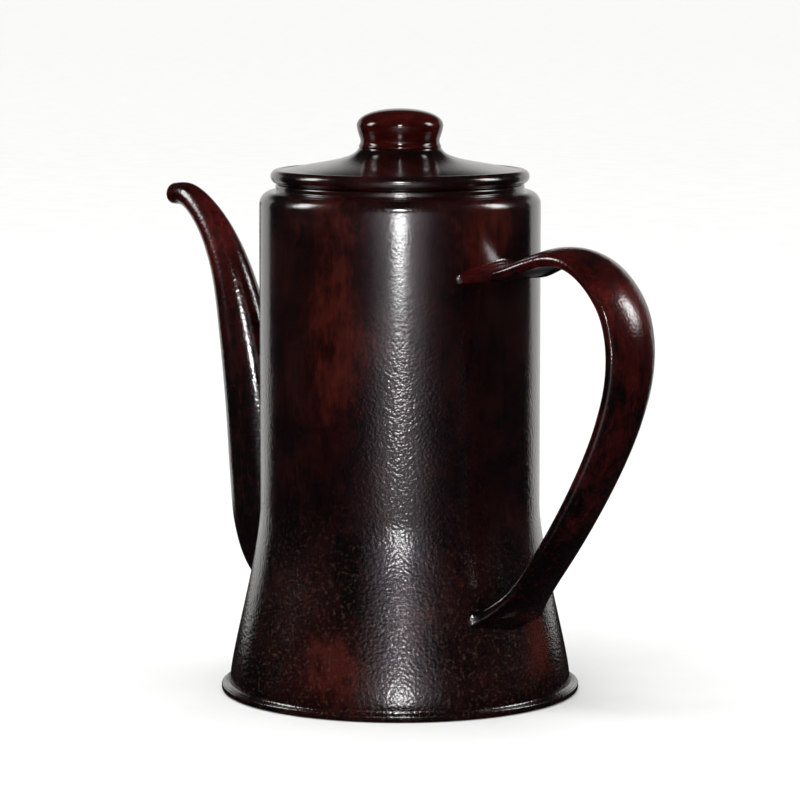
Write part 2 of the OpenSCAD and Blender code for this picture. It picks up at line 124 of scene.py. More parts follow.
def lathe_mesh(profile, segments, closed=True):
    """Vertices and faces of a profile (radius, height) turned about Z; radius 0 becomes a pole."""
    profile = [p for i, p in enumerate(profile)
               if i == 0 or math.dist(p, profile[i - 1]) > 1e-4]
    verts, rows = [], []
    for r, z in profile:
        if r < 1e-6:
            rows.append([len(verts)] * segments)
            verts.append((0, 0, z))
            continue
        rows.append(list(range(len(verts), len(verts) + segments)))
        for j in range(segments):
            a = TURN * j / segments
            verts.append((r * math.cos(a), r * math.sin(a), z))
    faces = []
    for low, high in zip(rows, rows[1:] + ([rows[0]] if closed else [])):
        for j in range(segments):
            k = (j + 1) % segments
            face = []
            for v in (low[j], low[k], high[k], high[j]):
                if v not in face:
                    face.append(v)
            if len(face) > 2:
                faces.append(face)
    return verts, faces


def grid_faces(rows, columns):
    """Quads of a grid of rows x columns points, each row closed to a ring."""
    faces = []
    for i in range(rows - 1):
        for j in range(columns):
            k = (j + 1) % columns
            faces.append([i * columns + j, i * columns + k, (i + 1) * columns + k, (i + 1) * columns + j])
    return faces


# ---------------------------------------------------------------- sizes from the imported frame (mm)

def size_of(node):
    low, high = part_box(node)
    return np.array(low) / MM, np.array(high) / MM


BASE_HIGH = size_of("base_plate")[1]
WALL_LOW, WALL_HIGH = size_of("pot_body")
NECK_LOW, NECK_HIGH = size_of("mouth_ring")
LID_LOW, LID_HIGH = size_of("lid_shell")
SKIRT_LOW, SKIRT_HIGH = size_of("lid_skirt")
KNOB_HIGH = size_of("knob")[1]

# sheet of wall and lid, and the gap left between pieces
SHEET = 0.8
GAP = 0.05

# wall: flange at the foot, flare, straight part and shoulder
BASE_RADIUS = BASE_HIGH[0]
FLANGE_TOP = WALL_LOW[2] + SHEET
SHOULDER = WALL_HIGH[2]
WALL_RADIUS = 45.9
FLARE_RADIUS = 56.1
FOOT_FILLET = 1.5
FLARE_START = 12
FLARE_BEND = 46
FLARE_END = 62
SHOULDER_ROUND = 4.5
TOP_OPENING = 38.6

# neck, lid and knob
MOUTH_RADIUS = 37.7
NECK_RADIUS = NECK_HIGH[0]
NECK_TOP = NECK_HIGH[2]
LID_RADIUS = LID_HIGH[0]
LID_BASE = LID_LOW[2]
BEAD = 2.3
KNOB_BASE = LID_HIGH[2]
KNOB_TOP = KNOB_HIGH[2]
KNOB_WAIST = 12.7

# steps along the flare and round the pot
FLARE_STEPS = 56
AROUND = 224


def wall_line(inset):
    """Outline of the pot's wall from the flange to the top of the shoulder, moved in by inset."""
    start = FLANGE_TOP + FOOT_FILLET
    straight = np.linspace(FLARE_END + 2, SHOULDER - 12, 40)
    return (arc((FLARE_RADIUS + FOOT_FILLET, start), FOOT_FILLET + inset, 270, 180, 10)
            + bezier([(FLARE_RADIUS - inset, start), (FLARE_RADIUS - inset, FLARE_START),
                      (WALL_RADIUS - inset, FLARE_BEND), (WALL_RADIUS - inset, FLARE_END)], FLARE_STEPS)
            + [(WALL_RADIUS - inset, z) for z in straight]
            + arc((WALL_RADIUS - SHOULDER_ROUND, SHOULDER - SHOULDER_ROUND),
                  SHOULDER_ROUND - inset, 0, 90, 14))


WALL_TABLE = np.array(wall_line(0))


def wall_radius(z):
    return np.interp(z, WALL_TABLE[:, 1], WALL_TABLE[:, 0])


def outside_wall(p):
    """How far points lie outside the wall, measured along the radius."""
    return np.hypot(p[..., 0], p[..., 1]) - wall_radius(p[..., 2])


def on_wall(p, lift=0.0):
    """Points moved along the radius onto the wall."""
    r = np.hypot(p[..., 0], p[..., 1])
    scale = (wall_radius(p[..., 2]) + lift) / r
    return np.stack([p[..., 0] * scale, p[..., 1] * scale, p[..., 2]], axis=-1)


# ---------------------------------------------------------------- materials

def nodes_of(material):
    material.use_nodes = True
    tree = material.node_tree
    tree.nodes.clear()
    return tree


def add(tree, kind, **values):
    node = tree.nodes.new(kind)
    for key, value in values.items():
        if key in node.inputs.keys():
            node.inputs[key].default_value = value
        else:
            setattr(node, key, value)
    return node


def colour_ramp(tree, stops, interpolation="LINEAR"):
    node = tree.nodes.new("ShaderNodeValToRGB")
    node.color_ramp.interpolation = interpolation
    elements = node.color_ramp.elements
    while len(elements) < len(stops):
        elements.new(0.5)
    for element, (place, colour) in zip(elements, stops):
        element.position = place
        element.color = (*colour, 1)
    return node


def noise(tree, coords, scale, detail, roughness=0.5, distortion=0.0):
    node = add(tree, "ShaderNodeTexNoise", Scale=scale, Detail=detail,
               Roughness=roughness, Distortion=distortion)
    tree.links.new(coords, node.inputs["Vector"])
    return node.outputs["Fac"]


def mix_colour(tree, factor, a, b, blend="MIX"):
    node = add(tree, "ShaderNodeMix", data_type="RGBA", blend_type=blend)
    for value, socket in ((factor, node.inputs[0]), (a, node.inputs[6]), (b, node.inputs[7])):
        if hasattr(value, "is_linked"):
            tree.links.new(value, socket)
        elif isinstance(value, tuple):
            socket.default_value = (*value, 1)
        else:
            socket.default_value = value
    return node.outputs[2]


def math_node(tree, operation, a, b=0.0):
    node = add(tree, "ShaderNodeMath", operation=operation)
    for value, socket in ((a, node.inputs[0]), (b, node.inputs[1])):
        if hasattr(value, "is_linked"):
            tree.links.new(value, socket)
        else:
            socket.default_value = value
    return node.outputs[0]


def map_range(tree, value, start, end, low=0.0, high=1.0, interpolation="SMOOTHSTEP"):
    """Turns start..end into low..high."""
    node = add(tree, "ShaderNodeMapRange", interpolation_type=interpolation)
    for key, number in (("From Min", start), ("From Max", end), ("To Min", low), ("To Max", high)):
        node.inputs[key].default_value = number
    tree.links.new(value, node.inputs["Value"])
    return node.outputs["Result"]


def stretched(tree, coords, scale):
    """Coordinates scaled along X, Y and Z, to stretch a pattern."""
    node = add(tree, "ShaderNodeMapping")
    node.inputs["Scale"].default_value = scale
    tree.links.new(coords, node.inputs["Vector"])
    return node.outputs["Vector"]


def ramp_of(tree, value, stops, interpolation="LINEAR"):
    """Colours of a ramp read at a value; a stop's colour may be one grey level."""
    stops = [(place, c if isinstance(c, tuple) else (c,) * 3) for place, c in stops]
    node = colour_ramp(tree, stops, interpolation)
    tree.links.new(value, node.inputs["Fac"])
    return node.outputs["Color"]


def new_material(name):
    """Empty material with its node tree and object coordinates."""
    material = bpy.data.materials.new(name)
    tree = nodes_of(material)
    return material, tree, add(tree, "ShaderNodeTexCoord").outputs["Object"]


def surface(tree, sockets, **values):
    """Principled shader with linked sockets and plain values, joined to the output."""
    shader = add(tree, "ShaderNodeBsdfPrincipled")
    for key, value in values.items():
        shader.inputs[key.replace("_", " ")].default_value = value
    for key, socket in sockets.items():
        tree.links.new(socket, shader.inputs[key])
    out = add(tree, "ShaderNodeOutputMaterial")
    tree.links.new(shader.outputs["BSDF"], out.inputs["Surface"])


def patch_mask(tree, coords, patches):
    """Soft blotches: each patch is a middle and its sizes along X, Y and Z, in millimetres."""
    total = 0.0
    for centre, size in patches:
        place = add(tree, "ShaderNodeMapping", vector_type="POINT")
        place.inputs["Location"].default_value = tuple(-c / s for c, s in zip(centre, size))
        place.inputs["Scale"].default_value = tuple(1 / (s * MM) for s in size)
        tree.links.new(coords, place.inputs["Vector"])
        far = add(tree, "ShaderNodeVectorMath", operation="LENGTH")
        tree.links.new(place.outputs["Vector"], far.inputs[0])
        total = math_node(tree, "ADD", map_range(tree, far.outputs["Value"], 1.0, 0.15), total)
    return total


# patterns of the glaze as scale, detail, roughness and distortion
CLOUDS = (42, 5, 0.62, 0.2)
GRAINS = (420, 4, 0.7)
SPECKS = (900, 2, 0.6)
GRAIN_STRETCH = (1, 1, 0.35)

# how much each of them, and the thin patches, counts for the thickness of the glaze
CLOUD_SHARE, GRAIN_SHARE, PATCH_SHARE = 0.62, 0.38, 0.16

# relief of the glaze as scale, roughness and height of each layer
RELIEF_LAYERS = ((1000, 0.5, 1.5), (480, 0.5, 0.3), (70, 0.4, 0.6))

# heights on the pot between which the painted shade, the painted reflection specks and the relief of the
# glaze change, in metres
# painted shade: between these heights the fittings go from darker low down to redder high up
SHADE_RISE = (30 * MM, 150 * MM)
# painted reflection: the pale specks grow from these heights down towards the foot
SPARKLE_FADE = (80 * MM, 20 * MM)
SMOOTH_RISE = (95 * MM, 135 * MM)

# colour of the painted reflection: pale specks low on the wall for the bright floor seen in the glaze
SPARKLE_TINT = (0.050, 0.030, 0.018)


def glaze_share(tree, cloud, grains, coords, height, patches, shade_shares):
    """How thin the glaze is, from 0 to 1: clouds, grains, thin patches and painted shade that changes with
    height.
    """
    share = math_node(tree, "ADD", math_node(tree, "MULTIPLY", cloud, CLOUD_SHARE),
                      math_node(tree, "MULTIPLY", grains, GRAIN_SHARE))
    if patches:
        mask = patch_mask(tree, coords, patches)
        share = math_node(tree, "ADD", share, math_node(tree, "MULTIPLY", mask, PATCH_SHARE))
    # painted shade: the share drops low on the pot and rises high up
    if shade_shares:
        rise = map_range(tree, height, *SHADE_RISE, *shade_shares, interpolation="LINEAR")
        share = math_node(tree, "ADD", share, rise)
    return share


def orange_peel(tree, coords, height, relief, top_relief):
    """Bump of the glaze: fine grains, orange peel and long waves; relief changes up the pot."""
    total = 0.0
    for scale, roughness, tall in RELIEF_LAYERS:
        layer = noise(tree, coords, scale, 1, roughness)
        total = math_node(tree, "ADD", total, math_node(tree, "MULTIPLY", layer, tall))
    bump = add(tree, "ShaderNodeBump", Strength=1.0)
    tree.links.new(total, bump.inputs["Height"])
    depth = map_range(tree, height, *SMOOTH_RISE, relief * MM, top_relief * MM)
    tree.links.new(depth, bump.inputs["Distance"])
    return bump.outputs["Normal"]


def enamel(name, colours, relief, top_relief, patches=(), shade_shares=(), coat=1.0, dull=0.0, sparkle=0.0):
    """Vitreous enamel: a dark glaze that goes red where it is thin, on edges and in flecks, with painted
    reflection as pale specks low down. colours run from thick to thin glaze, reliefs are in millimetres
    and shade_shares are painted shade added to the thinness low and high on the pot."""
    material, tree, coords = new_material(name)
    deep, mid, thin = colours
    split = add(tree, "ShaderNodeSeparateXYZ")
    tree.links.new(coords, split.inputs[0])
    height = split.outputs["Z"]

    cloud = noise(tree, coords, *CLOUDS)
    grains = noise(tree, stretched(tree, coords, GRAIN_STRETCH), *GRAINS)
    speck = noise(tree, coords, *SPECKS)
    share = glaze_share(tree, cloud, grains, coords, height, patches, shade_shares)
    colour = ramp_of(tree, share, [(0.42, deep), (0.56, mid), (0.74, thin)], "EASE")

    point = add(tree, "ShaderNodeNewGeometry").outputs["Pointiness"]
    sparkle_low = map_range(tree, height, *SPARKLE_FADE, 0.0, sparkle)
    # the last mask paints reflection: pale specks low on the wall
    for pattern, start, end, strength, tint in ((speck, 0.58, 0.74, 0.35, thin),
                                                (point, 0.52, 0.62, 0.55, thin),
                                                (speck, 0.56, 0.68, sparkle_low, SPARKLE_TINT)):
        mask = ramp_of(tree, pattern, [(start, 0.0), (end, 1.0)])
        colour = mix_colour(tree, math_node(tree, "MULTIPLY", mask, strength), colour, tint)

    normal = orange_peel(tree, coords, height, relief, top_relief)
    surface(tree, {"Base Color": colour, "Normal": normal, "Coat Normal": normal,
                   "Roughness": ramp_of(tree, cloud, [(0.35, 0.14 + dull), (0.7, 0.26 + dull)]),
                   "Coat Roughness": ramp_of(tree, speck, [(0.40, 0.03), (0.62, 0.16)])},
            IOR=1.45, Coat_Weight=coat, Coat_IOR=1.50)
    return material


def phenolic(name):
    """Moulded brown resin with faint flow streaks and fine scratches."""
    material, tree, coords = new_material(name)
    flow = noise(tree, stretched(tree, coords, (1, 1, 2.4)), 210, 4, 0.6, 0.5)
    wear = noise(tree, coords, 1400, 2, 0.7)
    bump = add(tree, "ShaderNodeBump", Strength=1.0, Distance=0.012 * MM)
    tree.links.new(noise(tree, coords, 420, 2, 0.5), bump.inputs["Height"])
    tone = [(0.30, (0.012, 0.0012, 0.0009)), (0.55, (0.028, 0.0024, 0.0016)),
            (0.80, (0.062, 0.0060, 0.0034))]
    surface(tree, {"Base Color": ramp_of(tree, flow, tone), "Normal": bump.outputs["Normal"],
                   "Roughness": ramp_of(tree, wear, [(0.4, 0.10), (0.8, 0.22)])},
            IOR=1.30, Coat_Weight=0.7, Coat_Roughness=0.04)
    return material


# turned lines run round the axis, so the pattern is squeezed along Z
TURNED = (1, 1, 22)
STAIN = (0.35, 0.25, 0.15)


def metal(name, colour, dark, dullness):
    """Turned or drawn metal: fine lines round the axis, dull patches and a little staining."""
    material, tree, coords = new_material(name)
    lines = noise(tree, stretched(tree, coords, TURNED), 260, 3, 0.6)
    patch = noise(tree, coords, 70, 4, 0.6, 0.4)
    tone = ramp_of(tree, lines, [(0.35, dark), (0.68, colour)])
    spots = math_node(tree, "MULTIPLY", ramp_of(tree, patch, [(0.58, 0.0), (0.80, 1.0)]), 0.22)
    bump = add(tree, "ShaderNodeBump", Strength=0.6, Distance=0.02 * MM)
    tree.links.new(lines, bump.inputs["Height"])
    surface(tree, {"Base Color": mix_colour(tree, spots, tone, STAIN), "Normal": bump.outputs["Normal"],
                   "Roughness": ramp_of(tree, patch, [(0.3, dullness[0]), (0.75, dullness[1])])},
            Metallic=1.0)
    return material


# thin places in the glaze of the pot, as middle and size in millimetres
BODY_PATCHES = [((14, -44, 118), (17, 17, 62)), ((20, -46, 14), (26, 26, 24)),
                ((55, 14, 22), (12, 14, 26)), ((45, -4, 152), (14, 18, 22)),
                ((-30, 34, 90), (24, 24, 50)), ((-44, -10, 60), (18, 24, 40))]
# the body carries the painted reflection specks low on the wall
ENAMEL_BODY = enamel("enamel_body",
                     ((0.0014, 0.0005, 0.0005), (0.0080, 0.0006, 0.0005), (0.0400, 0.0036, 0.0012)),
                     0.075, 0.014, patches=BODY_PATCHES, sparkle=0.5)
# the fittings carry painted shade: darker low on the pot, redder high up
ENAMEL_FITTINGS = enamel("enamel_fittings",
                         ((0.0014, 0.0005, 0.0005), (0.0220, 0.0008, 0.0005), (0.0920, 0.0036, 0.0016)),
                         0.055, 0.055, shade_shares=(-0.14, 0.07))
# painted shade: the closing strip under the handle gets a darker and duller glaze than the fittings
ENAMEL_SHADED_STRIP = enamel("enamel_strip_painted_shade",
                       ((0.0014, 0.0006, 0.0006), (0.0060, 0.0010, 0.0008), (0.0200, 0.0020, 0.0012)),
                       0.060, 0.060, coat=0.1, dull=0.26)
PHENOLIC = phenolic("knob_moulding")
BRASS = metal("brass_bush", (0.78, 0.58, 0.25), (0.58, 0.40, 0.16), (0.18, 0.36))
STEEL = metal("steel_fastener", (0.62, 0.62, 0.63), (0.42, 0.42, 0.43), (0.16, 0.34))
PUMP_METAL = metal("aluminium_pump", (0.80, 0.81, 0.83), (0.62, 0.63, 0.65), (0.20, 0.38))
BASKET_METAL = metal("aluminium_basket", (0.82, 0.83, 0.85), (0.66, 0.67, 0.69), (0.24, 0.42))


# ---------------------------------------------------------------- pot: wall, base, neck

# strainer: radius and spacing of its holes, the height of its middle and how far it spreads
STRAINER_HOLE = 1.5
STRAINER_PITCH = 5.0
STRAINER_LEVEL = 36.0
STRAINER_REACH = 9.0
STRAINER_ROWS = 5


def strainer_places():
    """Middles of the strainer holes behind the spout, as sideways and height."""
    places = []
    for row in range(-STRAINER_ROWS, STRAINER_ROWS + 1):
        for column in range(-STRAINER_ROWS, STRAINER_ROWS + 1):
            y = (column + (0.5 if row % 2 else 0)) * STRAINER_PITCH
            z = row * STRAINER_PITCH * math.sin(math.radians(60))
            if math.hypot(y, z) < STRAINER_REACH:
                places.append((y, STRAINER_LEVEL + z))
    return places


# distance in metres under which corners left by a cut are joined
WELD = 2e-7


def cut_holes(obj, cutters):
    """Cuts the joined cutters out of obj, applies it and clears slivers."""
    verts, faces = [], []
    for v, f in cutters:
        faces += [[i + len(verts) for i in face] for face in f]
        verts += [tuple(p) for p in v]
    mesh = bpy.data.meshes.new("cutter")
    mesh.from_pydata([tuple(np.array(v) * MM) for v in verts], [], faces)
    tool = bpy.data.objects.new("cutter", mesh)
    bpy.context.scene.collection.objects.link(tool)
    modifier = obj.modifiers.new("holes", "BOOLEAN")
    modifier.operation = "DIFFERENCE"
    modifier.solver = "EXACT"
    modifier.object = tool
    graph = bpy.context.evaluated_depsgraph_get()
    result = bpy.data.meshes.new_from_object(obj.evaluated_get(graph))
    obj.modifiers.clear()
    bm = bmesh.new()
    bm.from_mesh(result)
    bmesh.ops.remove_doubles(bm, verts=bm.verts, dist=WELD)
    bmesh.ops.dissolve_degenerate(bm, edges=bm.edges, dist=WELD)
    bm.to_mesh(result)
    bm.free()
    old = obj.data
    obj.data = result
    bpy.data.meshes.remove(old)
    bpy.data.objects.remove(tool)
    bpy.data.meshes.remove(mesh)


# share of a side by which rods are turned, so that their corners miss the corners of what they cut
ROD_OFFSET = 0.37


def rod(start, end, radius, sides=20):
    """Closed cylinder between two points."""
    start, end = np.array(start, float), np.array(end, float)
    axis = (end - start) / np.linalg.norm(end - start)
    side = np.cross(axis, (0, 0, 1) if abs(axis[2]) < 0.9 else (1, 0, 0))
    side /= np.linalg.norm(side)
    other = np.cross(axis, side)
    angles = [TURN * (j + ROD_OFFSET) / sides for j in range(sides)]
    ring = [radius * (math.cos(a) * side + math.sin(a) * other) for a in angles]
    verts = [start + r for r in ring] + [end + r for r in ring]
    faces = [[j, (j + 1) % sides, sides + (j + 1) % sides, sides + j] for j in range(sides)]
    faces += [list(range(sides))[::-1], list(range(sides, 2 * sides))]
    return verts, faces


def build_wall():
    """Drawn wall: flange, flare, straight part, shoulder, in-turned top edge and strainer holes."""
    flange = WALL_HIGH[0]
    edge = SHEET / 2
    chamfer = 0.2
    profile = ([(flange - chamfer, FLANGE_TOP)] + wall_line(0)
               + arc((TOP_OPENING + edge, SHOULDER - edge), edge, 90, 180, 5) + wall_line(SHEET)[::-1]
               + [(flange - chamfer, FLANGE_TOP - SHEET), (flange, FLANGE_TOP - edge)])
    verts, faces = lathe_mesh(profile, AROUND)
    wall = new_object("pot_wall", verts, faces, "pot", ENAMEL_BODY,
                      stands_for=["pot_body"])
    cut_holes(wall, [rod((-WALL_RADIUS + 2, y, z), (-FLARE_RADIUS - 4, y, z), STRAINER_HOLE)
                     for y, z in strainer_places()])


def build_base():
    """Bottom disc: slightly dished, with its edge curled up over the flange of the wall."""
    top = BASE_HIGH[2]
    inner = FLARE_RADIUS + FOOT_FILLET
    flange = WALL_HIGH[0] + GAP
    dish, curl = 0.35, 0.75
    dish_edge, ring_edge = BASE_RADIUS - 9, BASE_RADIUS - 4
    seat = FLANGE_TOP + 0.02
    profile = ([(0, dish), (dish_edge, dish)]
               + bezier([(dish_edge, dish), (dish_edge + 2, dish), (ring_edge - 2, 0), (ring_edge, 0)], 8)
               + arc((BASE_RADIUS - curl, curl), curl, -90, 0, 8)
               + arc((BASE_RADIUS - curl, top - curl), curl, 0, 90, 8)
               + bezier([(BASE_RADIUS - curl, top), (inner + 0.2, top),
                         (inner, top - 0.2), (inner - 0.1, seat)], 5)
               + [(flange, seat), (flange, SHEET), (0, SHEET + 0.3)])
    verts, faces = lathe_mesh(profile, AROUND, closed=False)
    new_object("base_disc", verts, faces, "pot", ENAMEL_BODY, stands_for=["base_plate"])


def build_neck():
    """Neck ring: a collar in the opening that stands on the shoulder with a small fillet."""
    foot = SHOULDER
    low = NECK_LOW[2]
    edge, lip, fillet = 0.8, 0.6, 0.6
    toe = (NECK_RADIUS + 0.35, foot + 0.02)
    profile = ([(MOUTH_RADIUS, low), (TOP_OPENING - GAP, low), (TOP_OPENING - GAP, foot), toe]
               + bezier([toe, (NECK_RADIUS, foot + 0.1), (NECK_RADIUS, foot + fillet / 2),
                         (NECK_RADIUS, foot + fillet)], 4)
               + arc((NECK_RADIUS - edge, NECK_TOP - edge), edge, 0, 90, 8)
               + arc((MOUTH_RADIUS + lip, NECK_TOP - lip), lip, 90, 180, 6))
    verts, faces = lathe_mesh(profile, AROUND)
    new_object("neck_ring", verts, faces, "pot", ENAMEL_BODY, stands_for=["mouth_ring"])


# ---------------------------------------------------------------- sweeps that end in a weld on the wall

def crossing(line):
    """Index, as a fraction, where a line of points first passes out of the wall."""
    out = outside_wall(line)
    for i in range(len(line) - 1):
        if out[i] <= 0 < out[i + 1]:
            return i + out[i] / (out[i] - out[i + 1])
    return 0.0


def along(line, places):
    """Points at fractional places on a line of points."""
    index = np.arange(len(line))
    return np.stack([np.interp(places, index, line[:, c]) for c in range(3)], axis=-1)


def lengths(line):
    return np.concatenate([[0], np.cumsum(np.linalg.norm(np.diff(line, axis=0), axis=1))])


def at_length(line, wanted):
    """Points at given distances along a line."""
    run = lengths(line)
    return np.stack([np.interp(wanted, run, line[:, c]) for c in range(3)], axis=-1)


# how far a weld's skin stays off the wall, and how far its rim sinks into it
WELD_LIFT = 0.02
WELD_SINK = 0.06


def weld_skirt(lines, back, spread, steps):
    """Fillet from a swept surface to the wall. lines[j] starts on the wall and runs along the sweep;
    back is how far up the sweep the fillet starts and spread how far it runs out on the wall."""
    feet = np.array([line[0] for line in lines])
    middle = feet.mean(axis=0)
    rows = []
    for line, foot in zip(lines, feet):
        top = at_length(line, [back])[0]
        away = foot - middle
        normal = np.array([foot[0], foot[1], 0.0])
        normal /= np.linalg.norm(normal)
        away -= normal * away.dot(normal)
        away /= np.linalg.norm(away)
        foot = on_wall(foot)
        rim = on_wall(foot + away * spread)
        t = np.linspace(0, 1, steps + 1)[:, None]
        curve = top * (1 - t) ** 2 + foot * 2 * t * (1 - t) + rim * t ** 2
        lift = np.maximum(0, WELD_LIFT - outside_wall(curve))
        flat = curve[:, :2] / np.linalg.norm(curve[:, :2], axis=1, keepdims=True)
        curve[:, :2] += flat * lift[:, None]
        curve[-1] = on_wall(rim, -WELD_SINK)
        rows.append(curve)
    return np.array(rows)


# ---------------------------------------------------------------- spout

# centre line of the spout as reach, height and radius, from inside the wall to the tip
SPOUT_REACH = 110.5
SPOUT_PATH = [(38, 31.5, 13), (48, 34.5, 13), (57, 40.5, 13), (61.8, 51, 13), (64.6, 66, 12.4),
              (68.6, 88, 11), (74, 110, 9.2), (80.4, 130.5, 7.2), (87.2, 143.6, 5.9),
              (95, 152.6, 4.9), (103, 157.8, 4.2), (SPOUT_REACH, 158.2, 3.6)]
SPOUT_WALL = 0.9


def headings(path, u):
    """Unit directions along a path at places u, in the plane of its first two columns."""
    step = 0.02
    ahead = through(path, np.minimum(u + step, len(path) - 1))
    behind = through(path, np.maximum(u - step, 0))
    d = (ahead - behind)[:, :2]
    return d / np.linalg.norm(d, axis=1, keepdims=True)


def spout_lines(inset, sides, fine):
    """Lines along the spout's surface from inside the wall to the tip."""
    u = np.linspace(0, len(SPOUT_PATH) - 1, fine)
    p = through(SPOUT_PATH, u)
    d = headings(SPOUT_PATH, u)
    r = p[:, 2] - inset
    lines = []
    for j in range(sides):
        a = TURN * j / sides
        lines.append(np.stack([-p[:, 0] + d[:, 1] * r * math.cos(a), r * math.sin(a),
                               p[:, 1] + d[:, 0] * r * math.cos(a)], axis=-1))
    return lines


def trimmed(line, start):
    """The line from fractional index start to its end."""
    places = np.concatenate([[start], np.arange(math.floor(start) + 1, len(line))])
    return along(line, places)


def build_spout():
    """Hollow spout: weld on the wall, tapering tube, rounded lip and bore, closed under the weld."""
    sides, fine, rows = 56, 500, 110
    back, spread = 4.2, 3.4
    outer = [trimmed(line, crossing(line)) for line in spout_lines(0, sides, fine)]
    inner = [trimmed(line, crossing(line)) for line in spout_lines(SPOUT_WALL, sides, fine)]
    skirt = weld_skirt(outer, back, spread, 8)
    body = np.array([at_length(line, np.linspace(back, lengths(line)[-1], rows)) for line in outer])
    bore = np.array([at_length(line, np.linspace(0, lengths(line)[-1], rows)) for line in inner])
    lip = []
    lip_round = 5
    for j in range(sides):
        a, b = body[j, -1], bore[j, -1]
        heading = body[j, -1] - body[j, -3]
        heading /= np.linalg.norm(heading)
        middle, half = (a + b) / 2, (a - b) / 2
        reach = np.linalg.norm(half)
        lip.append([middle + half * math.cos(math.pi * k / lip_round)
                    + heading * reach * math.sin(math.pi * k / lip_round)
                    for k in range(1, lip_round)])
    lip = np.array(lip)
    sheet = np.concatenate([skirt[:, ::-1], body[:, 1:], lip, bore[:, ::-1]], axis=1)
    columns = sheet.shape[1]
    verts = sheet.reshape(-1, 3)
    faces = grid_faces(sides + 1, columns)
    total = sides * columns
    faces = [[v % total for v in f] for f in faces]
    new_object("spout_tube", verts, faces, "pot", ENAMEL_FITTINGS,
               sharp=60, stands_for=["spout"])


# ---------------------------------------------------------------- handle

# crest of the strap as reach and height, from the upper foot over the bend to the lower foot
HANDLE_PATH = [(43, 142.6), (53, 144), (63, 147.6), (72, 149.9), (80.5, 149.6), (88.5, 146.3),
               (96, 140), (101.6, 131.6), (104.2, 120.5), (103.4, 108), (99.4, 95), (93.6, 82.6),
               (86.3, 70), (78.4, 58), (70.4, 47), (62.2, 37), (53, 28.4), (44, 22.6)]
# widths of the strap near the top, near the bottom and at its flared feet
STRAP_WIDE, STRAP_NARROW, FOOT_WIDE = 21.5, 18.5, 32.0

# its section: height of the crown, depth of the sides, sheet, rounding and recess of the strip
CROWN, STRAP_SIDE, STRAP_SHEET = 2.6, 3.0, 0.9
EDGE_ROUND = 1.6
RECESS = 0.5

# heights of the middles of the pads under the feet
UPPER_PAD_LEVEL = 137.0
LOWER_PAD_LEVEL = 32.5

# how much deeper the sides are at the upper and the lower foot
UPPER_DEEPER, LOWER_DEEPER = -0.4, 0.6

# shares of the path between which the feet flare and the strap narrows
UPPER_FLARE = (0.13, 0.02)
LOWER_FLARE = (0.85, 0.95)
NARROWING = (0.35, 0.85)


def upper_flare(t):
    return ramp(t, *UPPER_FLARE) ** 2


def lower_flare(t):
    return ramp(t, *LOWER_FLARE) ** 2


def strap_half(t):
    width = STRAP_WIDE + (STRAP_NARROW - STRAP_WIDE) * smooth(ramp(t, *NARROWING))
    share = upper_flare(t) + lower_flare(t)
    return (width + (FOOT_WIDE - width) * share) / 2


def strap_depth(t):
    return STRAP_SIDE + UPPER_DEEPER * upper_flare(t) + LOWER_DEEPER * lower_flare(t)


def half_section(half, depth, crown, edge):
    """Right half of the strap's section from the crown to the lower edge, sideways and height."""
    flat = half - edge
    shoulder = -crown - edge * 0.6
    points = [(y, -crown * (y / half) ** 2) for y in np.linspace(0, flat, 12)]
    points += arc((flat, shoulder), edge, 50, 0, 5)
    points += arc((flat, -crown - depth + edge), edge, 0, -90, 6)
    return points


def mirrored(points):
    return [(-y, h) for y, h in points[:0:-1]] + list(points)


def handle_frame(fine):
    """Share of the way, point and direction at many places along the handle."""
    u = np.linspace(0, len(HANDLE_PATH) - 1, fine)
    return u / (len(HANDLE_PATH) - 1), through(HANDLE_PATH, u), headings(HANDLE_PATH, u)


def placed(p, d, section):
    return [(p[0] - d[1] * h, y, p[1] + d[0] * h) for y, h in section]


def strap_outline(t):
    """Closed outline of shell and closing strip together, with the strip set in by RECESS."""
    half, depth = strap_half(t), strap_depth(t)
    outer = mirrored(half_section(half, depth, CROWN, EDGE_ROUND))
    rim = 0.4
    inner_edge = half - STRAP_SHEET - rim
    low = -CROWN - depth
    flat = inner_edge * 0.8
    back = [(inner_edge, low), (inner_edge, low + RECESS)]
    back += [(y, low + RECESS) for y in np.linspace(flat, -flat, 7)]
    back += [(-inner_edge, low + RECESS), (-inner_edge, low)]
    return outer + back


def inward(points, centre, depth):
    """Points moved towards a centre line by depth."""
    toward = centre - points
    return points + toward / np.linalg.norm(toward, axis=-1, keepdims=True) * depth


def tube_piece(outer, inner):
    """Closed sheet from matching grids of outer and inner lines (columns, rows, 3)."""
    loop = np.concatenate([outer, inner[::-1]], axis=0)
    n, rows = loop.shape[:2]
    verts = loop.transpose(1, 0, 2).reshape(-1, 3)
    faces = grid_faces(rows, n)
    faces += [list(range(n)), [(rows - 1) * n + j for j in range(n)][::-1]]
    return verts, faces


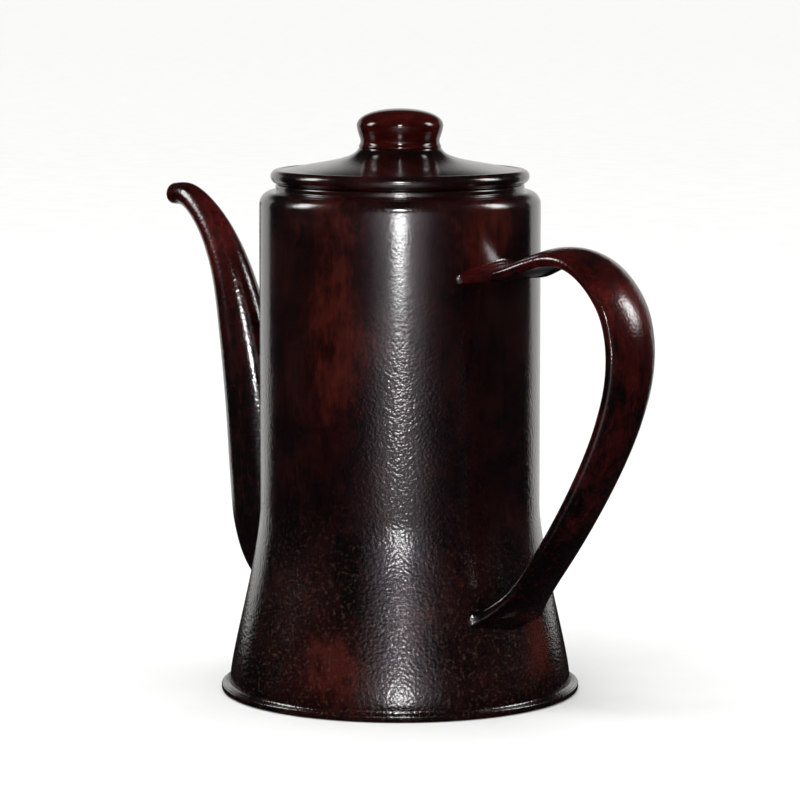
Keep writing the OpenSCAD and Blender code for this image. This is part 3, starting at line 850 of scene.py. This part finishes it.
def build_handle():
    """Hollow strap: crowned shell and closing strip, both running out in a weld on the wall."""
    fine, rows = 900, 150
    back, spread, steps = 4.5, 1.9, 10
    share, path, direction = handle_frame(fine)
    rings = np.array([placed(p, d, strap_outline(t)) for t, p, d in zip(share, path, direction)])
    columns = rings.shape[1]
    grid, upper, lower = [], [], []
    for j in range(columns):
        line = rings[:, j]
        start = crossing(line)
        end = len(line) - 1 - crossing(line[::-1])
        inside = trimmed(line[:math.floor(end) + 1], start)
        inside = np.concatenate([inside, along(line, [end])])
        upper.append(inside)
        lower.append(inside[::-1])
        grid.append(at_length(inside, np.linspace(back, lengths(inside)[-1] - back, rows)))
    grid = np.array(grid)
    top = weld_skirt(upper, back, spread, steps)
    foot = weld_skirt(lower, back, spread, steps)
    outer = np.concatenate([top[:, ::-1], grid[:, 1:-1], foot], axis=1)

    centre = grid.mean(axis=0)
    strap = inward(grid, centre, STRAP_SHEET)
    fade = np.linspace(1, 0, steps + 1)[:-1][None, :, None]
    nearly = 0.97
    to_top = (np.array([line[0] for line in upper]).mean(axis=0) - centre[0]) * nearly
    to_foot = (np.array([line[0] for line in lower]).mean(axis=0) - centre[-1]) * nearly
    inner = np.concatenate([strap[:, :1] + fade * to_top, strap,
                            strap[:, -1:] + fade[:, ::-1] * to_foot], axis=1)

    around = len(mirrored(half_section(STRAP_WIDE / 2, STRAP_SIDE, CROWN, EDGE_ROUND)))
    shell = [columns - 1] + list(range(around + 1))
    verts, faces = tube_piece(outer[shell], inner[shell])
    new_object("handle_shell_skin", verts, faces, "pot", ENAMEL_FITTINGS,
               sharp=60, stands_for=["handle_shell"])
    strip = list(range(around + 1, columns - 1))
    verts, faces = tube_piece(outer[strip], inner[strip])
    # the closing strip wears the painted-shade enamel
    new_object("handle_back_strip", verts, faces, "pot", ENAMEL_SHADED_STRIP,
               sharp=60, stands_for=["handle_back"])


def build_pad(name, node, level):
    """Saddle pad under a foot of the handle, a rounded patch feathered out on the wall."""
    low, high = size_of(node)
    half_width, half_height = high[1] + 0.5, (high[2] - low[2]) / 2 - 0.5
    rows, sides = 14, 64
    thick, sink, squareness = 0.35, 0.12, 3
    layers = []
    for side in (1, 0):
        for i in range(rows + 1):
            share = i / rows
            ring = []
            for j in range(sides):
                a = TURN * j / sides
                c, q = math.cos(a), math.sin(a)
                bulge = (abs(c) ** squareness + abs(q) ** squareness) ** (-1 / squareness)
                y, z = half_width * share * bulge * c, level + half_height * share * bulge * q
                lift = side * thick * (1 - share ** 2) ** 2 - sink
                r = wall_radius(z) + lift
                turn = y / wall_radius(z)
                ring.append((r * math.cos(turn), r * math.sin(turn), z))
            layers.append(ring)
    count = rows + 1
    grid = layers[:count] + layers[count:][::-1][1:]
    verts = [p for ring in grid for p in ring]
    faces = grid_faces(len(grid), sides)
    new_object(name, verts, faces, "pot", ENAMEL_BODY,
               sharp=60, stands_for=[node])


# ---------------------------------------------------------------- lid and knob

def build_lid():
    """Domed lid with a rolled bead, and the ring under it that sits in the neck."""
    bead = (LID_RADIUS - BEAD, LID_BASE + BEAD)
    rise = KNOB_BASE - LID_BASE
    screw_hole = 2.3
    top = bezier([(bead[0] - 0.6, LID_BASE + 2 * BEAD - 0.4), (25, LID_BASE + rise * 0.62),
                  (KNOB_WAIST + 2.4, LID_BASE + rise * 0.66), (KNOB_WAIST + 0.8, KNOB_BASE)], 60)
    exits = [i for i, p in enumerate(top) if math.dist(p, bead) > BEAD + 0.02]
    top = top[exits[0]:]
    under = [(r - 0.5, z - SHEET) for r, z in top]
    leave = math.degrees(math.atan2(top[0][1] - bead[1], top[0][0] - bead[0]))
    enter = math.degrees(math.atan2(under[0][1] - bead[1], under[0][0] - bead[0]))
    blend = 6
    profile = ([(screw_hole, KNOB_BASE - SHEET)] + under[::-1]
               + arc(bead, BEAD, enter + blend, leave - blend + 360, 40) + top + [(screw_hole, KNOB_BASE)])
    verts, faces = lathe_mesh(profile, AROUND)
    new_object("lid_dome", verts, faces, "lid", ENAMEL_BODY,
               sharp=50, stands_for=["lid_shell"])

    outer, inner = SKIRT_HIGH[0], SKIRT_HIGH[0] - SHEET
    low, high = SKIRT_LOW[2], SKIRT_HIGH[2]
    edge, root, rise = SHEET / 2, 0.2, 1.2
    profile = (arc(((outer + inner) / 2, low + edge), edge, 180, 360, 8)
               + [(outer, high - rise), (outer + root, high), (inner - root, high), (inner, high - rise)])
    verts, faces = lathe_mesh(profile, AROUND)
    new_object("lid_collar", verts, faces, "lid", ENAMEL_BODY,
               stands_for=["lid_skirt"])


def build_knob():
    """Mushroom knob with a narrow waist and a blind bore for its bush."""
    radius = KNOB_HIGH[0]
    widest = KNOB_BASE + (KNOB_TOP - KNOB_BASE) * 0.56
    bore = 3.6
    depth = (KNOB_TOP - KNOB_BASE) * 0.62
    foot, edge = KNOB_BASE + GAP, 0.4
    rim = KNOB_WAIST + 0.3
    profile = ([(0, KNOB_BASE + depth), (bore, KNOB_BASE + depth), (bore, foot), (rim, foot)]
               + arc((rim, foot + edge), edge, -90, 0, 5)
               + bezier([(rim + edge, KNOB_BASE + 0.8), (KNOB_WAIST - 0.6, KNOB_BASE + 2.6),
                         (radius - 0.5, KNOB_BASE + 3.4), (radius, widest)], 30)
               + bezier([(radius, widest), (radius + 0.1, widest + 3.6),
                         (radius * 0.55, KNOB_TOP), (0, KNOB_TOP)], 34))
    verts, faces = lathe_mesh(profile, 128, closed=False)
    new_object("knob_moulded", verts, faces, "lid", PHENOLIC,
               sharp=50, stands_for=["knob"])


build_wall()
build_base()
build_neck()
build_spout()
build_handle()
build_pad("handle_root_upper", "handle_foot_upper", UPPER_PAD_LEVEL)
build_pad("handle_root_lower", "handle_foot_lower", LOWER_PAD_LEVEL)
build_lid()
build_knob()

# the inner pieces keep their exact shape and get their metals
INNER_SHARP = math.radians(35)
for node, material in (("knob_insert", BRASS), ("knob_washer", STEEL), ("knob_screw", STEEL),
                       ("pump_tube", PUMP_METAL), ("pump_base", PUMP_METAL),
                       ("valve_seat", PUMP_METAL), ("stem_collar", PUMP_METAL),
                       ("valve_disc", STEEL), ("basket_cup", BASKET_METAL),
                       ("basket_sleeve", BASKET_METAL), ("basket_cover", BASKET_METAL)):
    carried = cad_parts[node]
    carried.data.materials.clear()
    carried.data.materials.append(material)
    carried.data.shade_smooth()
    carried.data.set_sharp_from_angle(angle=INNER_SHARP)


# ---------------------------------------------------------------- stage, light, camera

# what the glaze sees: a dark room, white behind the pot and a soft patch of light in front
DARK = (0.008, 0.006, 0.007)
WHITE_BEHIND = (0.60, 0.60, 0.58)
FRONT_PATCH = [(0.780, DARK), (0.890, (0.028, 0.020, 0.024)),
               (0.960, (0.105, 0.080, 0.090)), (0.998, (0.62, 0.54, 0.56))]
FRONT_FADE = (0.09, 0.20)
BACK_PATCH = [(0.150, WHITE_BEHIND), (0.170, DARK)]
BACK_FADE = (0.34, 0.42)


def dot_with(tree, vector, direction):
    node = add(tree, "ShaderNodeVectorMath", operation="DOT_PRODUCT")
    tree.links.new(vector, node.inputs[0])
    node.inputs[1].default_value = tuple(direction)
    return node.outputs["Value"]


def seen_in_glaze(tree, plain, reflected, kind):
    """Output that shows one shader to the camera and another to reflections."""
    choose = add(tree, "ShaderNodeMixShader")
    path = add(tree, "ShaderNodeLightPath")
    tree.links.new(path.outputs["Is Glossy Ray"], choose.inputs[0])
    tree.links.new(plain, choose.inputs[1])
    tree.links.new(reflected, choose.inputs[2])
    out = add(tree, kind)
    tree.links.new(choose.outputs[0], out.inputs["Surface"])


def floor_material():
    """Pale floor; in the glaze it shows dark, with a faint patch of light on the camera's side."""
    material, tree, coords = new_material("floor")
    link = tree.links.new
    grain = noise(tree, coords, 30, 3, 0.5)
    shader = add(tree, "ShaderNodeBsdfPrincipled", Roughness=0.75)
    link(ramp_of(tree, grain, [(0.3, (0.86, 0.86, 0.855)), (0.7, (0.89, 0.89, 0.885))]),
         shader.inputs["Base Color"])
    heading = add(tree, "ShaderNodeVectorMath", operation="NORMALIZE")
    link(coords, heading.inputs[0])
    dot = dot_with(tree, heading.outputs["Vector"], CAMERA_DIRECTION)
    half_turn = math_node(tree, "MULTIPLY", math_node(tree, "ADD", dot, 1.0), 0.5)
    away = add(tree, "ShaderNodeVectorMath", operation="LENGTH")
    link(coords, away.inputs[0])
    seen = DARK
    for patch, fade in ((FRONT_PATCH, FRONT_FADE), (BACK_PATCH, BACK_FADE)):
        reach = map_range(tree, away.outputs["Value"], *fade)
        lit = mix_colour(tree, reach, DARK, ramp_of(tree, half_turn, patch))
        seen = mix_colour(tree, 1.0, seen, lit, "LIGHTEN")
    glow = add(tree, "ShaderNodeEmission", Strength=1.0)
    link(seen, glow.inputs["Color"])
    seen_in_glaze(tree, shader.outputs["BSDF"], glow.outputs["Emission"], "ShaderNodeOutputMaterial")
    return material


# half the side of the floor, and how far it lies under the pot, in metres
FLOOR_HALF = 12.0
FLOOR_DROP = 0.0002


def build_floor():
    half = FLOOR_HALF
    mesh = bpy.data.meshes.new("floor")
    mesh.from_pydata([(-half, -half, 0), (half, -half, 0), (half, half, 0), (-half, half, 0)],
                     [], [(0, 1, 2, 3)])
    floor = bpy.data.objects.new("floor", mesh)
    floor.location = (0, 0, -FLOOR_DROP)
    bpy.context.scene.collection.objects.link(floor)
    mesh.materials.append(floor_material())


# camera: distance and height from the pot's foot in metres, turn round the pot in degrees, lens in mm
CAMERA_REACH = 1.230
CAMERA_HEIGHT = 0.245
CAMERA_TURN = 45.0
CAMERA_LENS = 170
SENSOR_WIDTH = 36
CAMERA_DIRECTION = Vector((math.sin(math.radians(CAMERA_TURN)),
                           -math.cos(math.radians(CAMERA_TURN)), 0))


def build_camera():
    data = bpy.data.cameras.new("camera")
    data.sensor_width = SENSOR_WIDTH
    data.lens = CAMERA_LENS
    camera = bpy.data.objects.new("camera", data)
    bpy.context.scene.collection.objects.link(camera)
    camera.location = CAMERA_DIRECTION * CAMERA_REACH + Vector((0, 0, CAMERA_HEIGHT))
    low, high = CAD_BOX
    aim = Vector((0, 0, (low.z + high.z) / 2))
    camera.rotation_euler = (camera.location - aim).to_track_quat("Z", "Y").to_euler()
    bpy.context.scene.camera = camera


def card_material(name, strength, colour, full):
    """Glow that is full within a share of the card's middle and fades out to its edges."""
    material = bpy.data.materials.new(name)
    tree = nodes_of(material)
    link = tree.links.new
    split = add(tree, "ShaderNodeSeparateXYZ")
    link(add(tree, "ShaderNodeTexCoord").outputs["UV"], split.inputs[0])
    middle, power = 0.5, 1.6
    fades = []
    for axis in ("X", "Y"):
        centred = math_node(tree, "SUBTRACT", split.outputs[axis], middle)
        fades.append(map_range(tree, math_node(tree, "ABSOLUTE", centred), middle, full))
    fade = math_node(tree, "POWER", math_node(tree, "MULTIPLY", fades[0], fades[1]), power)
    glow = add(tree, "ShaderNodeEmission")
    glow.inputs["Color"].default_value = (*colour, 1)
    link(math_node(tree, "MULTIPLY", fade, strength), glow.inputs["Strength"])
    both = add(tree, "ShaderNodeAddShader")
    link(glow.outputs[0], both.inputs[0])
    link(add(tree, "ShaderNodeBsdfTransparent").outputs[0], both.inputs[1])
    out = add(tree, "ShaderNodeOutputMaterial")
    link(both.outputs[0], out.inputs["Surface"])
    return material


def card(name, turn, distance, width, low, high, strength, colour=(1, 1, 1), full=0.0):
    """Soft glowing card that only reflections see, standing at an angle from the camera's side."""
    around = math.radians(CAMERA_TURN + turn)
    out = Vector((math.sin(around), -math.cos(around), 0))
    side = Vector((-out.y, out.x, 0)) * width / 2
    foot, head = out * distance + Vector((0, 0, low)), out * distance + Vector((0, 0, high))
    corners = [foot - side, foot + side, head + side, head - side]
    mesh = bpy.data.meshes.new(name)
    mesh.from_pydata([tuple(c) for c in corners], [], [(0, 1, 2, 3)])
    layer = mesh.uv_layers.new(name="card")
    for loop, uv in zip(layer.data, ((0, 0), (1, 0), (1, 1), (0, 1))):
        loop.uv = uv
    obj = bpy.data.objects.new(name, mesh)
    bpy.context.scene.collection.objects.link(obj)
    mesh.materials.append(card_material(name, strength, colour, full))
    obj.visible_camera = False
    obj.visible_diffuse = False
    obj.visible_shadow = False
    obj.visible_transmission = False


# the room in reflections: how far off the line behind the pot, and how high, the white reaches
WHITE_SIDES = (0.66, 0.70)
WHITE_TOP = (0.40, 0.22)
DARK_ROOM = (0.010, 0.008, 0.009)


def build_world():
    """Pale room: in the glaze it is white low down behind the pot and dark on the camera's side."""
    world = bpy.data.worlds.new("room")
    bpy.context.scene.world = world
    tree = nodes_of(world)
    ray = add(tree, "ShaderNodeTexCoord").outputs["Generated"]
    split = add(tree, "ShaderNodeSeparateXYZ")
    tree.links.new(ray, split.inputs[0])
    behind = map_range(tree, dot_with(tree, ray, -CAMERA_DIRECTION), *WHITE_SIDES)
    level = map_range(tree, split.outputs["Z"], *WHITE_TOP)
    white = math_node(tree, "MULTIPLY", behind, level)
    reflected = add(tree, "ShaderNodeBackground", Strength=1.0)
    tree.links.new(mix_colour(tree, white, DARK_ROOM, WHITE_BEHIND), reflected.inputs["Color"])
    plain = add(tree, "ShaderNodeBackground", Color=(1.0, 1.0, 0.995, 1), Strength=1.22)
    seen_in_glaze(tree, plain.outputs[0], reflected.outputs[0], "ShaderNodeOutputWorld")


# point on the axis of the pot that the light is aimed at
LIGHT_AIM = Vector((0, 0, 0.08))


def soft_light(name, turn, reach, height, size, power):
    """Wide area light for soft shadows, aimed at the pot and kept out of the reflections."""
    data = bpy.data.lights.new(name, "AREA")
    data.shape = "DISK"
    data.size = size
    data.energy = power
    light = bpy.data.objects.new(name, data)
    around = math.radians(CAMERA_TURN + turn)
    light.location = (math.sin(around) * reach, -math.cos(around) * reach, height)
    light.rotation_euler = (light.location - LIGHT_AIM).to_track_quat("Z", "Y").to_euler()
    light.visible_glossy = False
    bpy.context.scene.collection.objects.link(light)


build_floor()
build_camera()
build_world()
soft_light("light_top", turn=-35, reach=0.8, height=1.6, size=1.2, power=9.0)

# cards: turn in degrees, distance, width, heights of the lower and upper edge, strength
card("card_front", 0, 1.15, 0.40, 0.00, 0.21, 60.0)
card("card_front_glow", 0, 1.15, 1.70, -0.10, 0.50, 1.5, colour=(0.86, 0.78, 0.90))
card("card_front_high", 0, 1.15, 0.24, 0.50, 0.82, 60.0, full=0.2)
card("card_left", -90, 1.0, 0.54, 0.20, 1.15, 10.0, full=0.1)
card("card_right", 90, 1.0, 0.54, 0.20, 1.15, 10.0, full=0.1)

bpy.context.scene.view_settings.view_transform = "Standard"
